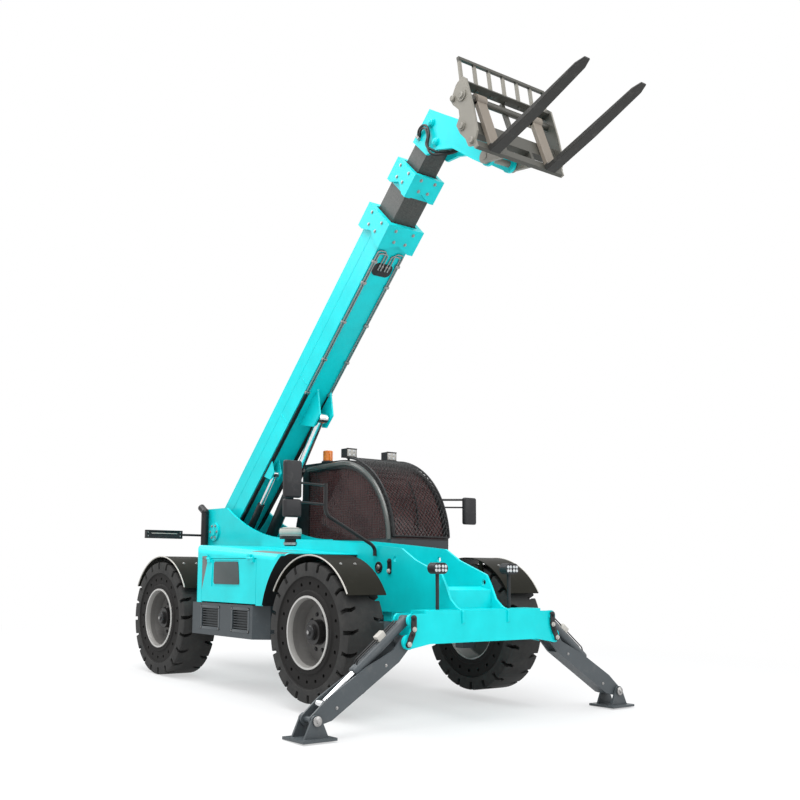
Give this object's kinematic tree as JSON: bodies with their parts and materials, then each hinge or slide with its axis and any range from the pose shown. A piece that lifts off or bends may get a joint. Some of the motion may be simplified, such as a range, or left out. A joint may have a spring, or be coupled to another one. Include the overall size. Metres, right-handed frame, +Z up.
{
  "type": "telehandler",
  "caption": "Telehandler with a raised telescopic boom, pallet forks, side cab, four steered wheels and front stabilizers down.",
  "frame": {"origin": "middle of the bounding box on the ground", "axes": "+X forward along the machine towards the fork tips, +Y to the machine's left, +Z up"},
  "size_m": [6.4618, 3.932, 5.911],
  "materials": {
    "teal_paint": "gloss",
    "slate_paint": "satin",
    "black_steel": "satin",
    "grey_paint": "satin",
    "rim_silver": "satin",
    "tyre_rubber": "matte",
    "rod_chrome": "polished",
    "fork_steel": "matte",
    "window_glass": "clear",
    "seat_fabric": "matte",
    "dark_plastic": "matte",
    "amber_lens": "gloss"
  },
  "bodies": {
    "chassis": {"chassis_frame": "teal_paint", "front_axle": "slate_paint", "rear_axle": "slate_paint", "engine_block": "slate_paint", "side_skirt": "slate_paint", "left_tank": "slate_paint", "counterweight": "slate_paint", "hood_top": "teal_paint", "cab_frame": "black_steel", "cab_glass": "window_glass", "cab_guard": "black_steel", "seat": "seat_fabric", "console": "dark_plastic", "mirrors": "dark_plastic", "work_lamps": "dark_plastic", "beacon": "amber_lens", "air_intake": "dark_plastic", "exhaust": "black_steel"},
    "knuckle_fr": {"knuckle_fr": "black_steel"},
    "wheel_fr": {"tyre_fr": "tyre_rubber", "rim_fr": "rim_silver"},
    "knuckle_fl": {"knuckle_fl": "black_steel"},
    "wheel_fl": {"tyre_fl": "tyre_rubber", "rim_fl": "rim_silver"},
    "knuckle_rr": {"knuckle_rr": "black_steel"},
    "wheel_rr": {"tyre_rr": "tyre_rubber", "rim_rr": "rim_silver"},
    "knuckle_rl": {"knuckle_rl": "black_steel"},
    "wheel_rl": {"tyre_rl": "tyre_rubber", "rim_rl": "rim_silver"},
    "hood_cover": {"hood_side": "teal_paint"},
    "door": {"cab_door": "black_steel", "door_glass": "window_glass"},
    "boom": {"boom_outer": "teal_paint"},
    "mid_section": {"boom_mid": "grey_paint"},
    "inner_section": {"boom_inner": "grey_paint", "boom_head": "teal_paint"},
    "fork_carriage": {"carriage": "grey_paint", "forks": "fork_steel"},
    "lift_cylinder_barrel": {"lift_barrel": "black_steel"},
    "lift_cylinder_rod": {"lift_rod": "rod_chrome"},
    "compensation_cylinder_barrel": {"comp_barrel": "black_steel"},
    "compensation_cylinder_rod": {"comp_rod": "rod_chrome"},
    "tilt_cylinder_barrel": {"tilt_barrel": "black_steel"},
    "tilt_cylinder_rod": {"tilt_rod": "rod_chrome"},
    "stabilizer_right": {"leg_right": "slate_paint"},
    "foot_pad_right": {"foot_right": "slate_paint"},
    "leg_cylinder_right_barrel": {"leg_barrel_right": "slate_paint"},
    "leg_cylinder_right_rod": {"leg_rod_right": "rod_chrome"},
    "stabilizer_left": {"leg_left": "slate_paint"},
    "foot_pad_left": {"foot_left": "slate_paint"},
    "leg_cylinder_left_barrel": {"leg_barrel_left": "slate_paint"},
    "leg_cylinder_left_rod": {"leg_rod_left": "rod_chrome"}
  },
  "joints": [
    {"name": "steer_fr", "type": "hinge", "parent": "chassis", "child": "knuckle_fr", "pos_m": [0.71973, -0.81, 0.72729], "axis": [-0.0321, 0, 0.9995], "range_deg": [-35, 35]},
    {"name": "spin_fr", "type": "hinge", "parent": "knuckle_fr", "child": "wheel_fr", "pos_m": [0.71973, -0.99, 0.72729], "axis": [0, 1, 0], "continuous": true},
    {"name": "steer_fl", "type": "hinge", "parent": "chassis", "child": "knuckle_fl", "pos_m": [0.71973, 0.81, 0.72729], "axis": [-0.0321, 0, 0.9995], "range_deg": [-35, 35]},
    {"name": "spin_fl", "type": "hinge", "parent": "knuckle_fl", "child": "wheel_fl", "pos_m": [0.71973, 0.99, 0.72729], "axis": [0, 1, 0], "continuous": true},
    {"name": "steer_rr", "type": "hinge", "parent": "chassis", "child": "knuckle_rr", "pos_m": [-2.30871, -0.81, 0.63], "axis": [-0.0321, 0, 0.9995], "range_deg": [-35, 35]},
    {"name": "spin_rr", "type": "hinge", "parent": "knuckle_rr", "child": "wheel_rr", "pos_m": [-2.30871, -0.99, 0.63], "axis": [0, 1, 0], "continuous": true},
    {"name": "steer_rl", "type": "hinge", "parent": "chassis", "child": "knuckle_rl", "pos_m": [-2.30871, 0.81, 0.63], "axis": [-0.0321, 0, 0.9995], "range_deg": [-35, 35]},
    {"name": "spin_rl", "type": "hinge", "parent": "knuckle_rl", "child": "wheel_rl", "pos_m": [-2.30871, 0.99, 0.63], "axis": [0, 1, 0], "continuous": true},
    {"name": "hood_open", "type": "hinge", "parent": "chassis", "child": "hood_cover", "pos_m": [-0.81597, -1.173, 1.3473], "axis": [-0.9995, 0, -0.0321], "range_deg": [0, 80]},
    {"name": "door_open", "type": "hinge", "parent": "chassis", "child": "door", "pos_m": [-1.49008, 1.114, 1.52675], "axis": [-0.0321, 0, 0.9995], "range_deg": [0, 85]},
    {"name": "boom_lift", "type": "hinge", "parent": "chassis", "child": "boom", "pos_m": [-2.70595, 0, 1.62776], "axis": [0, -1, 0], "range_deg": [-49, 25]},
    {"name": "extend", "type": "slide", "parent": "boom", "child": "mid_section", "axis": [0.684, 0, 0.7294], "range_m": [-0.19, 3]},
    {"name": "extend_inner", "type": "slide", "parent": "mid_section", "child": "inner_section", "axis": [0.684, 0, 0.7294], "range_m": [-0.19, 3]},
    {"name": "carriage_tilt", "type": "hinge", "parent": "inner_section", "child": "fork_carriage", "pos_m": [1.87847, 0, 5.08529], "axis": [0, 1, 0], "range_deg": [-36, 64]},
    {"name": "lift_cylinder_swing", "type": "hinge", "parent": "chassis", "child": "lift_cylinder_barrel", "pos_m": [-2.30945, 0.06, 1.12023], "axis": [0, -1, 0], "range_deg": [-48.56, 25.02]},
    {"name": "lift_cylinder_stroke", "type": "slide", "parent": "lift_cylinder_barrel", "child": "lift_cylinder_rod", "axis": [0.5911, 0, 0.8066], "range_m": [-0.50936, 0.26086]},
    {"name": "compensation_cylinder_swing", "type": "hinge", "parent": "chassis", "child": "compensation_cylinder_barrel", "pos_m": [-2.4171, -0.11, 1.35689], "axis": [0, -1, 0], "range_deg": [-51.71, 26.63]},
    {"name": "compensation_cylinder_stroke", "type": "slide", "parent": "compensation_cylinder_barrel", "child": "compensation_cylinder_rod", "axis": [0.6253, 0, 0.7804], "range_m": [-0.3105, 0.1594]},
    {"name": "tilt_cylinder_swing", "type": "hinge", "parent": "inner_section", "child": "tilt_cylinder_barrel", "pos_m": [1.15427, 0, 5.45185], "axis": [0, 1, 0], "range_deg": [-7.71, 4.55]},
    {"name": "tilt_cylinder_stroke", "type": "slide", "parent": "tilt_cylinder_barrel", "child": "tilt_cylinder_rod", "axis": [0.9575, 0, -0.2884], "range_m": [-0.09068, 0.15966]},
    {"name": "stabilizer_right", "type": "hinge", "parent": "chassis", "child": "stabilizer_right", "pos_m": [1.69525, -0.887, 0.72661], "axis": [0.9995, 0, 0.0321], "range_deg": [-117, 0]},
    {"name": "foot_swing_right", "type": "hinge", "parent": "stabilizer_right", "child": "foot_pad_right", "pos_m": [1.71353, -1.80603, 0.15774], "axis": [0.9995, 0, 0.0321], "range_deg": [-12, 12]},
    {"name": "leg_cylinder_right_swing", "type": "hinge", "parent": "chassis", "child": "leg_cylinder_right_barrel", "pos_m": [1.68947, -0.845, 0.90652], "axis": [0.9995, 0, 0.0321], "range_deg": [-116.41, 0.5]},
    {"name": "leg_cylinder_right_stroke", "type": "slide", "parent": "leg_cylinder_right_barrel", "child": "leg_cylinder_right_rod", "axis": [0.0194, -0.7965, -0.6044], "range_m": [-0.32094, 0.002]},
    {"name": "stabilizer_left", "type": "hinge", "parent": "chassis", "child": "stabilizer_left", "pos_m": [1.69525, 0.887, 0.72661], "axis": [-0.9995, 0, -0.0321], "range_deg": [-117, 0]},
    {"name": "foot_swing_left", "type": "hinge", "parent": "stabilizer_left", "child": "foot_pad_left", "pos_m": [1.71353, 1.80603, 0.15774], "axis": [-0.9995, 0, -0.0321], "range_deg": [-12, 12]},
    {"name": "leg_cylinder_left_swing", "type": "hinge", "parent": "chassis", "child": "leg_cylinder_left_barrel", "pos_m": [1.68947, 0.845, 0.90652], "axis": [-0.9995, 0, -0.0321], "range_deg": [-116.41, 0.5]},
    {"name": "leg_cylinder_left_stroke", "type": "slide", "parent": "leg_cylinder_left_barrel", "child": "leg_cylinder_left_rod", "axis": [0.0194, 0.7965, -0.6044], "range_m": [-0.32094, 0.002]}
  ],
  "couplings": [
    {"joint": "steer_fr", "follows": "steer_fl", "ratio": 1},
    {"joint": "steer_rr", "follows": "steer_rl", "ratio": 1},
    {"joint": "extend_inner", "follows": "extend", "ratio": 1},
    {"joint": "lift_cylinder_swing", "follows": "boom_lift", "ratio": 0.98072},
    {"joint": "lift_cylinder_stroke", "follows": "boom_lift", "m_per_rad": 0.59326},
    {"joint": "compensation_cylinder_swing", "follows": "boom_lift", "ratio": 1.045},
    {"joint": "compensation_cylinder_stroke", "follows": "boom_lift", "m_per_rad": 0.36073},
    {"joint": "tilt_cylinder_swing", "follows": "carriage_tilt", "ratio": -0.11259},
    {"joint": "tilt_cylinder_stroke", "follows": "carriage_tilt", "m_per_rad": 0.14114},
    {"joint": "leg_cylinder_right_swing", "follows": "stabilizer_right", "ratio": 0.99066},
    {"joint": "leg_cylinder_right_stroke", "follows": "stabilizer_right", "m_per_rad": 0.15619},
    {"joint": "leg_cylinder_left_swing", "follows": "stabilizer_left", "ratio": 0.99066},
    {"joint": "leg_cylinder_left_stroke", "follows": "stabilizer_left", "m_per_rad": 0.15619}
  ]
}
